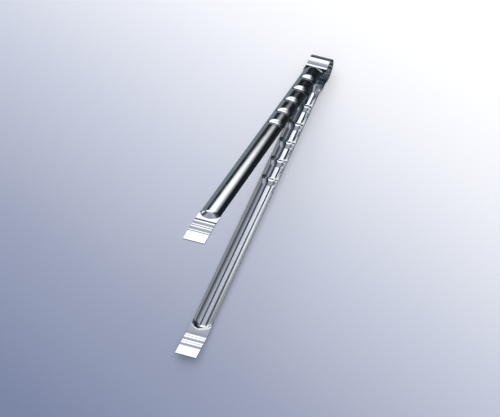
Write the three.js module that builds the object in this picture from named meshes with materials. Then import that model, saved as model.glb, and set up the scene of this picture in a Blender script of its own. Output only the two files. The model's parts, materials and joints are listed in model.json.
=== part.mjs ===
// One-piece spring tongs for crucibles: a single steel strip, bent double at its middle.
// Each half runs from the springy bow, through a half-round channel arm, to a flat jaw with cross ridges.
// The strip is divided only where the metal flexes, across the bow, so that the tongs can close.
// Millimetres, +Z up, +X across the strip, -Y towards the jaws, lying on the lower arm.
import * as THREE from 'three';

// The strip
const stripWidth = 21;
const thickness = 1;
const jointGap = 0.3; // clearance between neighbouring lengths of the strip

// Its centre line, for one half, from the crown of the bow to the tip
const crownRadius = 8;
const crownTurn = degrees(52.5);
const shoulderRadius = 18; // the bow is flatter above and below than at its crown
const waistTurn = degrees(22); // how far each side turns inward past parallel, below the crown
const waistRadius = 7;
const restHalfOpening = degrees(9.7); // angle of each arm from the middle plane when nothing squeezes it
const jawBend = degrees(9.2); // the jaws turn back towards each other
const jawBendRadius = 12;
const jawBendAt = 378.2; // distances along the strip are measured from the crown
const tipAt = 410.4;

// The half-round channel pressed into each arm, round side out
const channelStart = 32.2;
const channelEnd = 371.6;
const channelEndLength = 9; // of the domed run-out at each end
const channelCornerSetback = 6.5; // the dome's foot is an arc, further along at the strip's edges
const channelHalfAngleAtBow = degrees(59);
const channelHalfAngleAtJaw = degrees(43);

// Cross ribs pressed inward near the bow, for grip
const ribCount = 5;
const firstRibAt = 63.6;
const ribPitch = 26;
const ribHalfLength = 6;
const ribDepth = 1.3;

// Each jaw steps outward as it bends
const stepAt = 375.4;
const stepLength = 5;
const stepHeight = 0.43;

// Cross ridges standing on the gripping face of each jaw
const ridgeCount = 2;
const lastRidgeFromTip = 16.4; // to its crest
const ridgePitch = 8.8;
const ridgeRise = 4.9; // they rise gently and drop more steeply towards the tip
const ridgeDrop = 3.8;
const ridgeHeight = 0.56;

// The bow flexes evenly over its flat length, so the hinges are equally spaced along it
const flexureCount = 6;
const flatLength = 2 * 34;
const flexurePitch = flatLength / flexureCount;

// Mesh steps
const stepsAcrossArm = 11;
const stepsAcrossBow = 6;
const plainStep = 24;
const shapedStep = 2;
const bowStep = 1.5;

const steel = { color: 0xcfd4d9, metalness: 1, roughness: 0.15 };

function degrees(value) {
  return value * Math.PI / 180;
}

function arc(radius, turn) {
  return { length: radius * Math.abs(turn), turn };
}

// The centre line of one half, as stretches of constant curvature
const stretches = [
  arc(crownRadius, -crownTurn),
  arc(shoulderRadius, crownTurn - Math.PI / 2 - waistTurn),
  arc(waistRadius, waistTurn + restHalfOpening),
];
const straightStart = stretches.reduce((sum, stretch) => sum + stretch.length, 0);
stretches.push({ length: jawBendAt - straightStart, turn: 0 });
stretches.push(arc(jawBendRadius, -jawBend));
stretches.push({ length: tipAt - jawBendAt - jawBendRadius * jawBend, turn: 0 });

// Moves along a stretch: x is away from the crown, y is out from the middle plane
function advance(place, length, turn) {
  const heading = place.heading + turn;
  if (turn === 0) {
    const x = place.x + length * Math.cos(heading);
    const y = place.y + length * Math.sin(heading);
    return { x, y, heading };
  }
  const radius = length / turn;
  const x = place.x + radius * (Math.sin(heading) - Math.sin(place.heading));
  const y = place.y + radius * (Math.cos(place.heading) - Math.cos(heading));
  return { x, y, heading };
}

function centreLine(distance) {
  let place = { x: 0, y: 0, heading: Math.PI / 2 };
  let left = distance;
  for (const { length, turn } of stretches) {
    const used = Math.min(left, length);
    place = advance(place, used, turn * used / length);
    left -= used;
    if (left <= 0) break;
  }
  return place;
}

const clamp01 = (value) => Math.min(1, Math.max(0, value));

// A smooth bump, 1 at its middle and 0 at one half length to either side
function bump(offset, halfLength) {
  if (Math.abs(offset) >= halfLength) return 0;
  return Math.cos(Math.PI / 2 * offset / halfLength) ** 2;
}

// How much of the channel's depth is there: 0 on the flat, 1 past the domed ends
function channelShare(distance, across) {
  const setback = channelCornerSetback * across ** 2;
  const fromBow = clamp01((distance - channelStart - setback) / channelEndLength);
  const fromJaw = clamp01((channelEnd - distance - setback) / channelEndLength);
  return Math.sin(Math.PI / 2 * Math.min(fromBow, fromJaw));
}

const ribPlaces = Array.from({ length: ribCount }, (_, i) => firstRibAt + i * ribPitch);

// Crests; each ridge is a half bump on either side, of different lengths
const ridgePlaces = Array.from({ length: ridgeCount }, (_, i) => tipAt - lastRidgeFromTip - i * ridgePitch);

function ridge(offset) {
  return bump(offset, offset < 0 ? ridgeRise : ridgeDrop);
}

// 0 before the step and 1 after it
function step(distance) {
  return distance < stepAt ? 0 : 1 - bump(distance - stepAt, stepLength);
}

// The strip's cross section at a distance from the crown; across runs from -1 to 1.
// The pressed arc has the flat strip's own width as its length.
function section(distance, across) {
  const along = clamp01((distance - channelStart) / (channelEnd - channelStart));
  const halfAngle = channelHalfAngleAtBow + along * (channelHalfAngleAtJaw - channelHalfAngleAtBow);
  const radius = stripWidth / (2 * halfAngle);
  const share = channelShare(distance, across);
  const flat = across * stripWidth / 2;
  const side = flat + share * (radius * Math.sin(halfAngle * across) - flat);
  let out = share * radius * (Math.cos(halfAngle * across) - Math.cos(halfAngle));
  for (const rib of ribPlaces) out -= ribDepth * bump(distance - rib, ribHalfLength) * (1 - across ** 2);
  for (const crest of ridgePlaces) out -= ridgeHeight * ridge(distance - crest);
  out += stepHeight * step(distance);
  return { side, out };
}

// Middle of the sheet, at a signed distance from the crown: below zero is the lower half
function sheetPoint(signedDistance, across) {
  const half = signedDistance < 0 ? -1 : 1;
  const distance = Math.abs(signedDistance);
  const { x, y, heading } = centreLine(distance);
  const { side, out } = section(distance, across);
  const reach = x - out * Math.sin(heading);
  const lift = y + out * Math.cos(heading);
  return new THREE.Vector3(side, -reach, half * lift);
}

function outwardNormal(distance, across) {
  const nudge = 0.02;
  const alongStrip = sheetPoint(distance + nudge, across).sub(sheetPoint(distance - nudge, across));
  const acrossStrip = sheetPoint(distance, across + nudge).sub(sheetPoint(distance, across - nudge));
  return alongStrip.cross(acrossStrip).normalize();
}

// A closed length of the strip, through the given distances, as two skins joined round their edges
function stripGeometry(distances, stepsAcross) {
  const columns = stepsAcross + 1;
  const skinSize = distances.length * columns;
  const positions = [];
  for (const side of [0.5, -0.5]) {
    for (const distance of distances) {
      for (let j = 0; j < columns; j += 1) {
        const across = 2 * j / stepsAcross - 1;
        const point = sheetPoint(distance, across);
        point.addScaledVector(outwardNormal(distance, across), side * thickness);
        positions.push(...point.toArray());
      }
    }
  }
  const index = [];
  const quad = (a, b, c, d) => index.push(a, b, c, a, c, d);
  const outer = (i, j) => i * columns + j;
  const inner = (i, j) => skinSize + i * columns + j;
  const last = distances.length - 1;
  for (let i = 0; i < last; i += 1) {
    for (let j = 0; j < stepsAcross; j += 1) {
      quad(outer(i, j), outer(i + 1, j), outer(i + 1, j + 1), outer(i, j + 1));
      quad(inner(i, j), inner(i, j + 1), inner(i + 1, j + 1), inner(i + 1, j));
    }
    quad(inner(i, stepsAcross), outer(i, stepsAcross), outer(i + 1, stepsAcross), inner(i + 1, stepsAcross));
    quad(outer(i, 0), inner(i, 0), inner(i + 1, 0), outer(i + 1, 0));
  }
  for (let j = 0; j < stepsAcross; j += 1) {
    quad(inner(last, j), inner(last, j + 1), outer(last, j + 1), outer(last, j));
    quad(outer(0, j), outer(0, j + 1), inner(0, j + 1), inner(0, j));
  }
  const geometry = new THREE.BufferGeometry();
  geometry.setAttribute('position', new THREE.Float32BufferAttribute(positions, 3));
  geometry.setIndex(index);
  geometry.computeVertexNormals();
  return geometry;
}

function stripMesh(name, distances, stepsAcross) {
  const mesh = new THREE.Mesh(stripGeometry(distances, stepsAcross), new THREE.MeshStandardMaterial(steel));
  mesh.name = name;
  return mesh;
}

// Distances from start to end, at most one step apart
function evenly(start, end, step) {
  const count = Math.max(1, Math.ceil((end - start) / step - 1e-6));
  return Array.from({ length: count }, (_, i) => start + (end - start) * i / count);
}

// Distances along one arm, closer together at the domes, ribs, bend and ridges
function armDistances() {
  const start = flatLength / 2 - flexurePitch / 2 + jointGap / 2;
  const domeReach = channelEndLength + channelCornerSetback;
  const marks = [[start, channelStart, 4], [channelStart, channelStart + domeReach, shapedStep]];
  let from = channelStart + domeReach;
  for (const rib of ribPlaces) {
    marks.push([from, rib - ribHalfLength, plainStep]);
    marks.push([rib - ribHalfLength, rib + ribHalfLength, shapedStep]);
    from = rib + ribHalfLength;
  }
  const ridges = [...ridgePlaces].reverse();
  marks.push([from, channelEnd - domeReach, plainStep], [channelEnd - domeReach, channelEnd, shapedStep]);
  marks.push([channelEnd, stepAt, 2]);
  from = stepAt;
  for (const crest of ridges) {
    marks.push([from, crest - ridgeRise, 1]);
    marks.push([crest - ridgeRise, crest, 1.1]);
    marks.push([crest, crest + ridgeDrop, 0.7]);
    from = crest + ridgeDrop;
  }
  marks.push([from, tipAt, plainStep]);
  const kept = marks.filter(([a, b]) => b - a > 1e-6);
  return [...kept.flatMap(([a, b, step]) => evenly(a, b, step)), tipAt];
}

function armMesh(name, half) {
  const distances = armDistances().map((distance) => half * distance);
  if (half < 0) distances.reverse();
  return stripMesh(name, distances, stepsAcrossArm);
}

// One length of the bow, between two neighbouring flexures; place 0 is the crown
function bowMesh(name, place) {
  const start = (place - 0.5) * flexurePitch + jointGap / 2;
  const end = (place + 0.5) * flexurePitch - jointGap / 2;
  return stripMesh(name, [...evenly(start, end, bowStep), end], stepsAcrossBow);
}

// The channel is deeper at the bow than at the jaw, so an arm's round back slopes from its middle line
const channelDepth = (halfAngle) => stripWidth / (2 * halfAngle) * (1 - Math.cos(halfAngle));
const depthLost = channelDepth(channelHalfAngleAtBow) - channelDepth(channelHalfAngleAtJaw);
const backSlope = Math.asin(depthLost / (channelEnd - channelStart));

// Built about the middle plane, then tilted so that it lies on the round back of the lower arm
const strip = new THREE.Group();
strip.add(armMesh('lower_arm', -1));
strip.add(bowMesh('bow_lower_waist', -2));
strip.add(bowMesh('bow_lower_shoulder', -1));
strip.add(bowMesh('bow_crown', 0));
strip.add(bowMesh('bow_upper_shoulder', 1));
strip.add(bowMesh('bow_upper_waist', 2));
strip.add(armMesh('upper_arm', 1));
strip.rotation.x = backSlope - restHalfOpening;

// The origin is under the middle of the whole, on the surface that the tongs lie on
const group = new THREE.Group();
group.add(strip);
group.updateMatrixWorld(true);
const box = new THREE.Box3().setFromObject(group, true);
const middle = box.getCenter(new THREE.Vector3());
strip.position.set(-middle.x, -middle.y, -box.min.z);
group.updateMatrixWorld(true);

export default group;
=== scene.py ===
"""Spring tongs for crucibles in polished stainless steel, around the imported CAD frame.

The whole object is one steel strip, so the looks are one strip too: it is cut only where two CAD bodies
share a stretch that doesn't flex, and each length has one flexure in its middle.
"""

import json
import math

import bpy
import numpy as np
from mathutils import Matrix, Vector


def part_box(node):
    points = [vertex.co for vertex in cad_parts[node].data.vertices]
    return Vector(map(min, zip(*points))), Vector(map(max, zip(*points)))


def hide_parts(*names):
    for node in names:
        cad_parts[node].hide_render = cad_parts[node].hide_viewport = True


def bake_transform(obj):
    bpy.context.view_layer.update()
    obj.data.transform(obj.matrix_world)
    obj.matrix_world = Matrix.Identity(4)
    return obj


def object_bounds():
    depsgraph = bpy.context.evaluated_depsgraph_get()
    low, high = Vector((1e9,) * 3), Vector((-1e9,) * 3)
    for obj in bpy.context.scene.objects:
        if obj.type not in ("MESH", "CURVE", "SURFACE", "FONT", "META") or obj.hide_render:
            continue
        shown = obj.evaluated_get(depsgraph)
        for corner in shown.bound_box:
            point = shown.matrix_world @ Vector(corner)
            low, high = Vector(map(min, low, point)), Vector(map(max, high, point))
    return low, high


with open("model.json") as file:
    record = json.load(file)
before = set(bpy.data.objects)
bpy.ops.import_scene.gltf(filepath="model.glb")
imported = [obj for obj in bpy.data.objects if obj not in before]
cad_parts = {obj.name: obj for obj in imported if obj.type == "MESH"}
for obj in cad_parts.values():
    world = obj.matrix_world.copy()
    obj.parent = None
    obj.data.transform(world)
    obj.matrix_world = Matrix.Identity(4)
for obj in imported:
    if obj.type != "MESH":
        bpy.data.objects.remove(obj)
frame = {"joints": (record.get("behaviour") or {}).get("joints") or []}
cad_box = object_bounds()

MM = 0.001

# The strip, by the CAD's own driving dimensions
WIDTH = 2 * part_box("bow_crown")[1].x
THICKNESS = 1 * MM
CROWN_RADIUS = 8 * MM
CROWN_TURN = math.radians(52.5)
SHOULDER_RADIUS = 18 * MM
WAIST_TURN = math.radians(22)
WAIST_RADIUS = 7 * MM
REST_HALF_OPENING = math.radians(9.7)
JAW_BEND = math.radians(9.2)
JAW_BEND_RADIUS = 12 * MM
JAW_BEND_AT = 378.2 * MM
TIP_AT = 410.4 * MM

# The pressed channel
CHANNEL_START = 32.2 * MM
CHANNEL_END = 371.6 * MM
CHANNEL_END_LENGTH = 9 * MM
CHANNEL_CORNER_SETBACK = 6.5 * MM
CHANNEL_HALF_ANGLE_AT_BOW = math.radians(59)
CHANNEL_HALF_ANGLE_AT_JAW = math.radians(43)
CHANNEL_FOOT_FILLET = 0.11  # share of the run-out that the foot's fillet takes, to either side

# Cross ribs near the bow
RIB_PLACES = [(63.6 + 26 * i) * MM for i in range(5)]
RIB_HALF_LENGTH = 6 * MM
RIB_DEPTH = 1.3 * MM

# The step at each jaw's bend, and the cross ridges on the jaws
STEP_AT = 375.4 * MM
STEP_LENGTH = 5 * MM
STEP_HEIGHT = 0.43 * MM
RIDGE_CRESTS = [TIP_AT - (16.4 + 8.8 * i) * MM for i in range(2)]
RIDGE_RISE = 4.9 * MM
RIDGE_DROP = 3.8 * MM
RIDGE_HEIGHT = 0.56 * MM

# What the CAD leaves to the looks
EDGE_RADIUS = 0.28 * MM
EDGE_STEPS = 4
STEPS_ACROSS = 72
TURN_PER_ROW = math.radians(0.8)
LONGEST_ROW = 6 * MM
ROW_SEARCH_STEP = 0.1 * MM
INNER_SKIN_PLACE = 5 * WIDTH  # where the inner skin starts in the flat layout, clear of the outer one

# Polished stainless steel, where it is cleaner and where it is smeared
STEEL_BRIGHT = (0.62, 0.655, 0.69)
STEEL_DULL = (0.57, 0.605, 0.645)
CLEAN_ROUGHNESS = 0.05
SMEARED_ROUGHNESS = 0.1
LINE_ROUGHNESS = 0.03  # what the polishing lines and the scratches add
SCRATCH_ROUGHNESS = 0.06

# The grain of its finish, as sizes in mm across and along the strip, and the relief of its surface
SMEAR_GRAIN = (9, 22)
WAVE_GRAIN = (7, 16)
LINE_GRAIN = (0.12, 30)
SCRATCH_GRAIN = (0.35, 6)
WAVE_HEIGHT = 0.02 * MM
LINE_HEIGHT = 0.00004 * MM
SCRATCH_DEPTH = 0.0002 * MM

# The strip flexes about the record's six hinges, which are evenly spaced along it
FLEXURE_PITCH = 68 * MM / 6
LENGTHS = [
    ("strip_lower_arm", "lower_arm", "bow_lower_waist", -3, ["lower_arm"]),
    ("strip_lower_waist", "bow_lower_waist", "bow_lower_shoulder", -2, ["bow_lower_waist"]),
    ("strip_lower_crown", "bow_lower_shoulder", "bow_crown", -1, ["bow_lower_shoulder"]),
    ("strip_upper_crown", "bow_crown", "bow_upper_shoulder", 0, ["bow_crown", "bow_upper_shoulder"]),
    ("strip_upper_waist", "bow_upper_shoulder", "bow_upper_waist", 1, ["bow_upper_waist"]),
    ("strip_upper_arm", "bow_upper_waist", "upper_arm", 2, ["upper_arm"]),
]


# ---------- the strip's middle surface ----------

def arc(radius, turn):
    return radius * abs(turn), turn


# Lengths and turns along one half, from the crown
BOW_STRETCHES = [
    arc(CROWN_RADIUS, -CROWN_TURN),
    arc(SHOULDER_RADIUS, CROWN_TURN - math.pi / 2 - WAIST_TURN),
    arc(WAIST_RADIUS, WAIST_TURN + REST_HALF_OPENING),
]
STRAIGHT = JAW_BEND_AT - sum(length for length, _ in BOW_STRETCHES)
STRETCHES = BOW_STRETCHES + [(STRAIGHT, 0), arc(JAW_BEND_RADIUS, -JAW_BEND), (math.inf, 0)]


def centre_line(distance):
    """(away from the crown, out from the middle plane, heading) at a distance along one half."""
    x, y, heading, left = 0.0, 0.0, math.pi / 2, distance
    for length, turn in STRETCHES:
        used = min(left, length)
        if turn:
            radius = length / turn
            turned = heading + used / radius
            x += radius * (math.sin(turned) - math.sin(heading))
            y += radius * (math.cos(heading) - math.cos(turned))
            heading = turned
        else:
            x += used * math.cos(heading)
            y += used * math.sin(heading)
        left -= used
        if left <= 0:
            break
    return x, y, heading


def bump(offset, half_length):
    """1 at its middle and 0 from one half length on."""
    share = np.clip(offset / half_length, -1, 1)
    return np.cos(math.pi / 2 * share) ** 2


def soft_ramp(value, fillet):
    """value above 0 and 0 below it, with the corner rounded over one fillet to either side."""
    rounded = (value + fillet) ** 2 / (4 * fillet)
    return np.where(value < -fillet, 0, np.where(value > fillet, value, rounded))


def channel_share(distance, across):
    """How far the channel is pressed, from 0 outside it to 1 between its domed ends."""
    setback = CHANNEL_CORNER_SETBACK * across ** 2
    from_bow = (distance - CHANNEL_START - setback) / CHANNEL_END_LENGTH
    from_jaw = (CHANNEL_END - distance - setback) / CHANNEL_END_LENGTH
    share = soft_ramp(np.minimum(from_bow, from_jaw), CHANNEL_FOOT_FILLET)
    return np.sin(math.pi / 2 * np.minimum(share, 1))


def section(distance, across):
    """How far to the side and how far out the sheet's middle is. across runs from -1 to 1."""
    along = np.clip((distance - CHANNEL_START) / (CHANNEL_END - CHANNEL_START), 0, 1)
    half_angle = CHANNEL_HALF_ANGLE_AT_BOW + along * (CHANNEL_HALF_ANGLE_AT_JAW - CHANNEL_HALF_ANGLE_AT_BOW)
    radius = WIDTH / (2 * half_angle)
    share = channel_share(distance, across)
    flat = across * WIDTH / 2
    side = flat + share * (radius * np.sin(half_angle * across) - flat)
    out = share * radius * (np.cos(half_angle * across) - np.cos(half_angle))
    for rib in RIB_PLACES:
        out = out - RIB_DEPTH * bump(distance - rib, RIB_HALF_LENGTH) * (1 - across ** 2)
    for crest in RIDGE_CRESTS:
        reach = np.where(distance < crest, RIDGE_RISE, RIDGE_DROP)
        out = out - RIDGE_HEIGHT * bump(distance - crest, reach)
    out = out + STEP_HEIGHT * (1 - bump(np.maximum(distance - STEP_AT, 0), STEP_LENGTH))
    return side, out


def upright_point(signed_distance, across):
    """The sheet's middle with the tongs' middle plane level; both arguments are arrays of one shape."""
    lines = {d: centre_line(abs(d)) for d in np.unique(signed_distance)}
    x, y, heading = np.moveaxis(np.array([lines[d] for d in signed_distance.ravel()]), -1, 0)
    side, out = section(np.abs(signed_distance).ravel(), across.ravel())
    half = np.where(signed_distance.ravel() < 0, -1, 1)
    points = np.stack([side, -(x - out * np.sin(heading)), half * (y + out * np.cos(heading))], -1)
    return points.reshape(*signed_distance.shape, 3)


def channel_depth(half_angle):
    return WIDTH / (2 * half_angle) * (1 - math.cos(half_angle))


# The channel is deeper at the bow than at the jaw, and the tongs lie on the lower arm's round back
DEPTH_LOST = channel_depth(CHANNEL_HALF_ANGLE_AT_BOW) - channel_depth(CHANNEL_HALF_ANGLE_AT_JAW)
BACK_SLOPE = math.asin(DEPTH_LOST / (CHANNEL_END - CHANNEL_START))
LEVELLING = np.array(Matrix.Rotation(BACK_SLOPE - REST_HALF_OPENING, 3, "X"))


def placed_from_joints():
    """Where the crown of the bow is, from the frame's hinges, which lie on the strip's middle."""
    places = []
    for i, joint in enumerate(frame["joints"]):
        distance = np.array([(i - 2.5) * FLEXURE_PITCH])
        point = upright_point(distance, np.zeros(1))[0] @ LEVELLING.T
        places.append(np.array(joint["pos_m"]) - point)
    return np.mean(places, 0)


CROWN = placed_from_joints()


def sheet_point(signed_distance, across):
    return upright_point(signed_distance, across) @ LEVELLING.T + CROWN


def unit(vectors):
    return vectors / np.linalg.norm(vectors, axis=-1, keepdims=True)


def sheet_frame(signed_distance, across):
    """Unit vectors of the sheet at each point: out of it, along it and across it."""
    step, share = 0.01 * MM, 1e-3
    along = sheet_point(signed_distance + step, across) - sheet_point(signed_distance - step, across)
    side = sheet_point(signed_distance, across + share) - sheet_point(signed_distance, across - share)
    out = unit(np.cross(along, side))
    return out, unit(along), unit(np.cross(out, along))


# ---------- meshes ----------

def row_places(start, end):
    """Distances from start to end, closer together where the sheet turns faster."""
    fine = np.linspace(start, end, max(2, int((end - start) / ROW_SEARCH_STEP)) + 1)
    across = np.linspace(-0.95, 0.95, 9)
    d, a = np.meshgrid(fine, across, indexing="ij")
    normals = sheet_frame(d, a)[0]
    turns = np.arccos(np.clip((normals[1:] * normals[:-1]).sum(-1), -1, 1)).max(1)
    effort = turns / TURN_PER_ROW + np.diff(fine) / LONGEST_ROW
    total = np.concatenate([[0], np.cumsum(effort)])
    return np.interp(np.linspace(0, total[-1], math.ceil(total[-1]) + 1), total, fine)


def edge_profile():
    """One skin of the strip from rim to rim: share across, how far out, how far sideways, and the angle
    of the normal from the sheet's own, to the left below zero."""
    inset = 1 - 2 * EDGE_RADIUS / WIDTH
    core = THICKNESS / 2 - EDGE_RADIUS
    angles = np.linspace(0, math.pi / 2, EDGE_STEPS + 1)[1:]
    rows = [(a, THICKNESS / 2, 0.0, 0.0) for a in np.linspace(-inset, inset, STEPS_ACROSS + 1)]
    right = [(inset, core + EDGE_RADIUS * math.cos(t), EDGE_RADIUS * math.sin(t), t) for t in angles]
    left = [(-a, out, -side, -t) for a, out, side, t in reversed(right)]
    return np.array(left + rows + right).T


def end_rounding(start, end):
    """Rows from start to end, as (distance, inset, angle of the normal), rounded at the strip's real ends."""
    angles = np.linspace(0, math.pi / 2, EDGE_STEPS + 1)
    tip = [(TIP_AT - EDGE_RADIUS * (1 - math.sin(t)), EDGE_RADIUS * (1 - math.cos(t)), t) for t in angles]
    rows = []
    inner_start, inner_end = start, end
    if start <= -TIP_AT:
        rows += [(-d, inset, -t) for d, inset, t in reversed(tip)]
        inner_start = -tip[0][0]
    if end >= TIP_AT:
        rows += tip
        inner_end = tip[0][0]
    middle = row_places(inner_start, inner_end)
    middle = [d for d in middle if all(abs(d - r[0]) > 1e-9 for r in rows)]
    return np.array(sorted(rows + [(d, 0.0, 0.0) for d in middle])).T


def strip_mesh(name, start, end):
    """A closed length of the strip with rounded rims, and each corner's normal from the formula itself."""
    distances, insets, end_angles = end_rounding(start, end)
    across, out, side, rim_angles = edge_profile()
    d, a = np.meshgrid(distances, across, indexing="ij")
    normal, along, sideways = sheet_frame(d, a)
    middle = sheet_point(d, a)
    narrowing = insets[:, None]
    out_now = out[None, :] - narrowing * np.cos(rim_angles)
    side_now = side[None, :] - narrowing * np.sin(rim_angles)
    cos_rim, sin_rim = np.cos(rim_angles)[None, :, None], np.sin(rim_angles)[None, :, None]
    cos_end, sin_end = np.cos(end_angles)[:, None, None], np.sin(end_angles)[:, None, None]
    skins, normals = [], []
    for face in (1, -1):
        skins.append(middle + face * out_now[..., None] * normal + side_now[..., None] * sideways)
        rim = cos_rim * face * normal + sin_rim * sideways
        normals.append(unit(cos_end * rim + sin_end * along))
    rows, columns = d.shape
    vertices = np.concatenate([s.reshape(-1, 3) for s in skins])
    vertex_normals = np.concatenate([n.reshape(-1, 3) for n in normals])
    faces, face_normals = strip_faces(rows, columns), {}
    for row, direction in ((0, -1), (rows - 1, 1)):
        for k in range(columns - 1):
            upper, lower = row * columns + k, (rows + row) * columns + k
            ring = (upper, upper + 1, lower + 1, lower)
            face_normals[len(faces)] = direction * along[row, k]
            faces.append(ring if direction > 0 else ring[::-1])
    mesh = bpy.data.meshes.new(name)
    mesh.from_pydata(vertices.tolist(), [], faces)
    smooth_by_formula(mesh, vertex_normals, face_normals)
    lay_out(mesh, d, a, rows * columns)
    return mesh


def strip_faces(rows, columns):
    """The two skins, and the two long edges that join them."""
    faces = []
    inner = rows * columns
    for i in range(rows - 1):
        for j in range(columns - 1):
            p = i * columns + j
            faces.append((p, p + columns, p + columns + 1, p + 1))
            faces.append((inner + p, inner + p + 1, inner + p + columns + 1, inner + p + columns))
        left, right = i * columns, i * columns + columns - 1
        faces.append((left, inner + left, inner + left + columns, left + columns))
        faces.append((right, right + columns, inner + right + columns, inner + right))
    return faces


def smooth_by_formula(mesh, vertex_normals, face_normals):
    """Each corner takes its vertex's normal, but a face at the strip's ends takes one of its own."""
    mesh.shade_smooth()
    corners = np.empty(len(mesh.loops), int)
    mesh.loops.foreach_get("vertex_index", corners)
    normals = vertex_normals[corners]
    for face, direction in face_normals.items():
        for corner in mesh.polygons[face].loop_indices:
            normals[corner] = direction
    mesh.normals_split_custom_set(normals.tolist())


def lay_out(mesh, distances, across, inner_start):
    """Maps the strip flat, in metres, for its finish to run along; the inner skin lies beside the outer."""
    corners = np.empty(len(mesh.loops), int)
    mesh.loops.foreach_get("vertex_index", corners)
    u = np.tile((across * WIDTH / 2).ravel(), 2)
    v = np.tile(distances.ravel(), 2)
    u[inner_start:] += INNER_SKIN_PLACE
    mesh.uv_layers.new(name="along_strip")
    mesh.uv_layers["along_strip"].data.foreach_set("uv", np.stack([u, v], -1)[corners].ravel())


# ---------- the steel ----------

def node(tree, kind, **values):
    """A node with each named value set, as its own property or else as an input's value."""
    made = tree.nodes.new(kind)
    for name, value in values.items():
        if hasattr(made, name):
            setattr(made, name, value)
        else:
            made.inputs[name].default_value = value
    return made


def strip_coordinates(tree, grain):
    """The strip laid flat, divided by a grain's size across and along it."""
    across_mm, along_mm = grain
    uv = node(tree, "ShaderNodeUVMap", uv_map="along_strip")
    mapping = node(tree, "ShaderNodeMapping", Scale=(1 / (across_mm * MM), 1 / (along_mm * MM), 1))
    tree.links.new(uv.outputs["UV"], mapping.inputs["Vector"])
    return mapping.outputs["Vector"]


def noise(tree, grain, detail):
    made = node(tree, "ShaderNodeTexNoise", noise_dimensions="2D", Scale=1.0, Detail=detail)
    tree.links.new(strip_coordinates(tree, grain), made.inputs["Vector"])
    return made.outputs["Fac"]


def remap(tree, value, low, high, to_low, to_high):
    """A value's range from low to high stretched to another range, and held at its ends."""
    made = tree.nodes.new("ShaderNodeMapRange")
    for slot, number in zip(("From Min", "From Max", "To Min", "To Max"), (low, high, to_low, to_high)):
        made.inputs[slot].default_value = number
    tree.links.new(value, made.inputs["Value"])
    return made.outputs["Result"]


def math_node(tree, operation, first, second):
    """A sum, difference or product of two values, each a number or another node's output."""
    made = tree.nodes.new("ShaderNodeMath")
    made.operation = operation
    for value, slot in ((first, made.inputs[0]), (second, made.inputs[1])):
        if isinstance(value, (int, float)):
            slot.default_value = value
        else:
            tree.links.new(value, slot)
    return made.outputs[0]


def polished_steel():
    """Stainless sheet with a mirror polish, handling smears, fine polishing lines along it and scratches."""
    material = bpy.data.materials.new("polished_steel")
    material.use_nodes = True
    tree = material.node_tree
    shader = tree.nodes["Principled BSDF"]
    shader.inputs["Metallic"].default_value = 1

    # Noise lies mostly between 0.3 and 0.7; only its few highest places become scratches
    smears = noise(tree, SMEAR_GRAIN, detail=4)
    lines = noise(tree, LINE_GRAIN, detail=3)
    scratched = remap(tree, noise(tree, SCRATCH_GRAIN, detail=1), 0.68, 0.74, 0, 1)
    roughness = remap(tree, smears, 0.3, 0.7, CLEAN_ROUGHNESS, SMEARED_ROUGHNESS)
    roughness = math_node(tree, "ADD", roughness, remap(tree, lines, 0.3, 0.7, 0, LINE_ROUGHNESS))
    roughness = math_node(tree, "ADD", roughness, math_node(tree, "MULTIPLY", scratched, SCRATCH_ROUGHNESS))
    tree.links.new(roughness, shader.inputs["Roughness"])

    tint = tree.nodes.new("ShaderNodeMix")
    tint.data_type = "RGBA"
    tint.inputs["A"].default_value = (*STEEL_DULL, 1)
    tint.inputs["B"].default_value = (*STEEL_BRIGHT, 1)
    tree.links.new(remap(tree, smears, 0.3, 0.7, 1, 0), tint.inputs["Factor"])
    tree.links.new(tint.outputs["Result"], shader.inputs["Base Color"])

    height = math_node(tree, "MULTIPLY", noise(tree, WAVE_GRAIN, detail=1), WAVE_HEIGHT)
    height = math_node(tree, "ADD", height, math_node(tree, "MULTIPLY", lines, LINE_HEIGHT))
    height = math_node(tree, "SUBTRACT", height, math_node(tree, "MULTIPLY", scratched, SCRATCH_DEPTH))
    bump_node = node(tree, "ShaderNodeBump", Strength=1.0, Distance=1.0)
    tree.links.new(height, bump_node.inputs["Height"])
    tree.links.new(bump_node.outputs["Normal"], shader.inputs["Normal"])
    return material


def build_strip():
    """The six lengths, each around one flexure, with the arms' lengths running on to the tips."""
    steel = polished_steel()
    for name, before, after, place, nodes in LENGTHS:
        flex_start, flex_end = place * FLEXURE_PITCH, (place + 1) * FLEXURE_PITCH
        start = -TIP_AT if place == -3 else flex_start
        end = TIP_AT if place == 2 else flex_end
        piece = bpy.data.objects.new(name, strip_mesh(name, start, end))
        bpy.context.scene.collection.objects.link(piece)
        piece.data.materials.append(steel)
        at_start, at_end = sheet_point(np.array([flex_start, flex_end]), np.zeros(2))
        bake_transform(piece)
        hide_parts(*nodes)


# ---------- the studio ----------

# A long lens from the front right and above, aimed a little off the middle of the CAD box
CAMERA_AZIMUTH = math.radians(18.36)
CAMERA_ELEVATION = math.radians(47.16)
CAMERA_ROLL = math.radians(0.8)
CAMERA_DISTANCE = 4.724
CAMERA_OFFSET_RIGHT = -0.0066
CAMERA_OFFSET_UP = -0.0467
CAMERA_LENS = 360
CAMERA_FAR_CLIP = 50

# The room by the sine of the height: a dark wall near the horizon, a grey ceiling, a dim floor below
ROOM = [
    (-1.00, (0.16, 0.19, 0.21)),
    (-0.10, (0.26, 0.31, 0.34)),
    (-0.04, (0.10, 0.12, 0.13)),
    (0.00, (0.014, 0.018, 0.022)),
    (0.18, (0.014, 0.018, 0.022)),
    (0.42, (0.06, 0.07, 0.08)),
    (0.53, (0.10, 0.11, 0.13)),
    (0.62, (0.17, 0.19, 0.22)),
    (0.68, (0.40, 0.42, 0.48)),
    (0.75, (0.62, 0.64, 0.72)),
    (0.93, (0.50, 0.50, 0.55)),
    (1.00, (0.47, 0.46, 0.51)),
]
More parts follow.
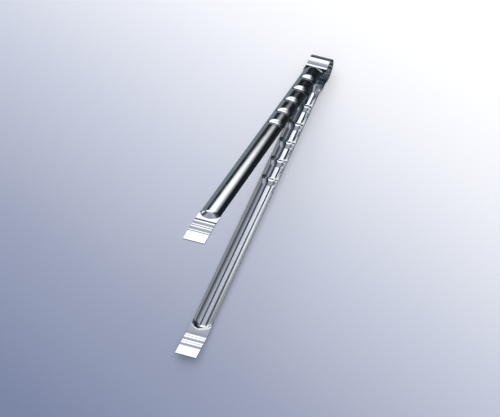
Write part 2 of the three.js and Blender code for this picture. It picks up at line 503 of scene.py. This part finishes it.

# The backdrop that the tongs lie on: pale paper with painted light, white at the back right where a painted
# pool of light falls, and lilac blue at the front left where painted shade falls
BACKDROP_LIGHT_FALLOFF = [
    (0.00, (0.19, 0.225, 0.34)),
    (0.25, (0.325, 0.355, 0.46)),
    (0.50, (0.54, 0.57, 0.65)),
    (0.75, (0.80, 0.81, 0.83)),
    (1.00, (0.98, 0.97, 0.95)),
]
BACKDROP_DIRECTION = Vector((0.42, 0.91, 0))
BACKDROP_REACH = 0.33  # the painted fall-off of light runs from this far before the middle to this far behind it
BACKDROP_PAINTED_GLOW = 0.42  # painted light: the paper glows though it is no lamp, which keeps the shadows faint
BACKDROP_HALF_SIZE = 15


def ramp(tree, value, colours):
    """A colour for a value from 0 to 1, through (place, colour) points."""
    made = tree.nodes.new("ShaderNodeValToRGB")
    elements = made.color_ramp.elements
    elements[0].position, elements[1].position = colours[0][0], colours[-1][0]
    for position, _ in colours[1:-1]:
        elements.new(position)
    for element, (_, colour) in zip(elements, colours):
        element.color = (*colour, 1)
    tree.links.new(value, made.inputs["Fac"])
    return made.outputs["Color"]


def paper_with_painted_light():
    material = bpy.data.materials.new("paper_with_painted_light")
    material.use_nodes = True
    tree = material.node_tree
    place = tree.nodes.new("ShaderNodeTexCoord")
    along = node(tree, "ShaderNodeVectorMath", operation="DOT_PRODUCT")
    along.inputs[1].default_value = BACKDROP_DIRECTION.normalized()
    tree.links.new(place.outputs["Object"], along.inputs[0])
    painted_falloff = remap(tree, along.outputs["Value"], -BACKDROP_REACH, BACKDROP_REACH, 0, 1)
    shader = tree.nodes["Principled BSDF"]
    # Painted light: this colour grade stands for light falling off from the back right, not for the paper's
    # own colour
    colour = ramp(tree, painted_falloff, BACKDROP_LIGHT_FALLOFF)
    tree.links.new(colour, shader.inputs["Base Color"])
    # Painted light: the paper glows with its own graded colour
    tree.links.new(colour, shader.inputs["Emission Color"])
    shader.inputs["Emission Strength"].default_value = BACKDROP_PAINTED_GLOW
    shader.inputs["Roughness"].default_value = 1
    shader.inputs["Specular IOR Level"].default_value = 0
    return material


def build_floor():
    size = BACKDROP_HALF_SIZE
    corners = [(-size, -size, 0), (size, -size, 0), (size, size, 0), (-size, size, 0)]
    mesh = bpy.data.meshes.new("floor")
    mesh.from_pydata(corners, [], [(0, 1, 2, 3)])
    mesh.materials.append(paper_with_painted_light())
    floor = bpy.data.objects.new("floor", mesh)
    bpy.context.scene.collection.objects.link(floor)
    # The polished steel mirrors the room, not the backdrop
    floor.visible_glossy = False
    floor.visible_shadow = False


def softbox(name, centre, aim, width, height, radiance, fades=()):
    """A panel of light. Each fade is a world axis and the (place, share of the light) points along it."""
    light = bpy.data.lights.new(name, "AREA")
    light.shape = "RECTANGLE"
    light.size, light.size_y = width, height
    light.energy = radiance * math.pi * width * height
    lamp = bpy.data.objects.new(name, light)
    lamp.location = centre
    lamp.rotation_mode = "QUATERNION"
    lamp.rotation_quaternion = (Vector(aim) - Vector(centre)).to_track_quat("-Z", "Y")
    lamp.visible_camera = False
    bpy.context.scene.collection.objects.link(lamp)
    if fades:
        light.use_nodes = True
        tree = light.node_tree
        place = node(tree, "ShaderNodeNewGeometry")
        split = node(tree, "ShaderNodeSeparateXYZ")
        tree.links.new(place.outputs["Position"], split.inputs[0])
        strength = 1.0
        for axis, points in fades:
            strength = math_node(tree, "MULTIPLY", fade(tree, split.outputs[axis], points), strength)
        tree.links.new(strength, tree.nodes["Emission"].inputs["Strength"])
    return lamp


def fade(tree, value, points):
    """A smooth curve through (place, share) points along one axis."""
    low, high = points[0][0], points[-1][0]
    colours = [((place - low) / (high - low), (share, share, share)) for place, share in points]
    return ramp(tree, remap(tree, value, low, high, 0, 1), colours)


def build_room():
    """The world behind the lights, by height, and darker below the horizon on the right."""
    world = bpy.data.worlds.new("studio")
    bpy.context.scene.world = world
    world.use_nodes = True
    tree = world.node_tree
    place = tree.nodes.new("ShaderNodeTexCoord")
    split = tree.nodes.new("ShaderNodeSeparateXYZ")
    tree.links.new(place.outputs["Generated"], split.inputs[0])
    room = ramp(tree, remap(tree, split.outputs["Z"], -1, 1, 0, 1), [((z + 1) / 2, c) for z, c in ROOM])
    below = remap(tree, split.outputs["Z"], -0.03, 0.0, 1, 0)
    to_right = remap(tree, split.outputs["X"], -0.2, 0.2, 0, 0.85)
    light = math_node(tree, "SUBTRACT", 1.0, math_node(tree, "MULTIPLY", below, to_right))
    tree.links.new(room, tree.nodes["Background"].inputs["Color"])
    tree.links.new(light, tree.nodes["Background"].inputs["Strength"])


def build_lights():
    """Two large panels draw the bright bands on the steel, and two weaker ones fill in its other sides."""
    softbox("back_softbox", (-0.3, 1.135, 0.9), (-0.3, 0, 0.9), 1.26, 1.3, 1.75, [
        ("X", [(-0.93, 1), (-0.10, 1), (0.03, 0.8), (0.10, 0.52), (0.19, 0.27), (0.27, 0.1), (0.33, 0.02)]),
        ("Z", [(0.25, 0), (0.27, 0.1), (0.30, 0.5), (0.36, 1), (0.9, 1), (1.05, 0.65), (1.2, 0.4),
               (1.38, 0.17), (1.55, 0.05)]),
    ])
    softbox("left_softbox", (-0.8, 0.39, 0.28), (0, 0.39, 0.28), 0.78, 0.56, 1.5, [
        ("Y", [(0.0, 0.15), (0.50, 0.25), (0.56, 0.35), (0.64, 0.8), (0.72, 1), (0.78, 1)]),
        ("Z", [(0.0, 0), (0.05, 0.9), (0.35, 1), (0.42, 0.8), (0.56, 0.2)]),
    ])
    softbox("right_softbox", (0.8, 0.4, 0.3), (0, 0.4, 0.3), 1.0, 0.6, 0.36, [
        ("Z", [(0.0, 0), (0.1, 1), (0.6, 1)]),
    ])
    softbox("front_softbox", (0.2, -1.3, 0.9), (0, 0, 0.1), 1.4, 0.8, 0.9)
    # This one lights the backdrop alone: the steel doesn't mirror it
    overhead = softbox("overhead", (0, 0, 2.2), (0, 0, 0), 2.4, 2.4, 0.55)
    overhead.visible_glossy = False


def build_camera():
    camera = bpy.data.objects.new("camera", bpy.data.cameras.new("camera"))
    bpy.context.scene.collection.objects.link(camera)
    bpy.context.scene.camera = camera
    camera.data.lens = CAMERA_LENS
    camera.data.clip_end = CAMERA_FAR_CLIP
    az, el = CAMERA_AZIMUTH, CAMERA_ELEVATION
    back = Vector((math.sin(az) * math.cos(el), -math.cos(az) * math.cos(el), math.sin(el)))
    level = Vector((math.cos(az), math.sin(az), 0))
    turn = Matrix((level, back.cross(level), back)).transposed() @ Matrix.Rotation(CAMERA_ROLL, 3, "Z")
    camera.rotation_mode = "QUATERNION"
    camera.rotation_quaternion = turn.to_quaternion()
    offset = turn @ Vector((CAMERA_OFFSET_RIGHT, CAMERA_OFFSET_UP, CAMERA_DISTANCE))
    camera.location = (cad_box[0] + cad_box[1]) / 2 + offset


build_strip()
build_floor()
build_room()
build_lights()
build_camera()
bpy.context.scene.view_settings.view_transform = "Standard"
